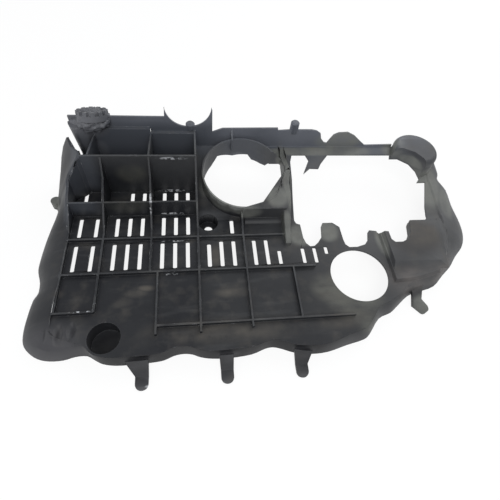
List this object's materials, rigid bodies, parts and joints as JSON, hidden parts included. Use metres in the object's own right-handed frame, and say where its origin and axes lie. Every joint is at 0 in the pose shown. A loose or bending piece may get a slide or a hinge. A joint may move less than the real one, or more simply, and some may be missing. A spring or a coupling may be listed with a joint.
{
  "type": "engine_splash_shield",
  "caption": "Black moulded engine splash shield with ribbed slotted floor, deep pockets, pipe saddle, tilted collar, notched opening and wavy skirt with tabs",
  "frame": {"origin": "on the axis of the screw hole, on the floor of its cup", "axes": "+X along the long ribs towards the large opening, +Y towards the tall back wall, +Z out of the ribbed face"},
  "size_m": [0.6085, 0.3491, 0.1217],
  "materials": {
    "black_plastic": "satin, lightly worn and dusty"
  },
  "bodies": {
    "root": {"splash_shield": "black_plastic"}
  },
  "joints": []
}
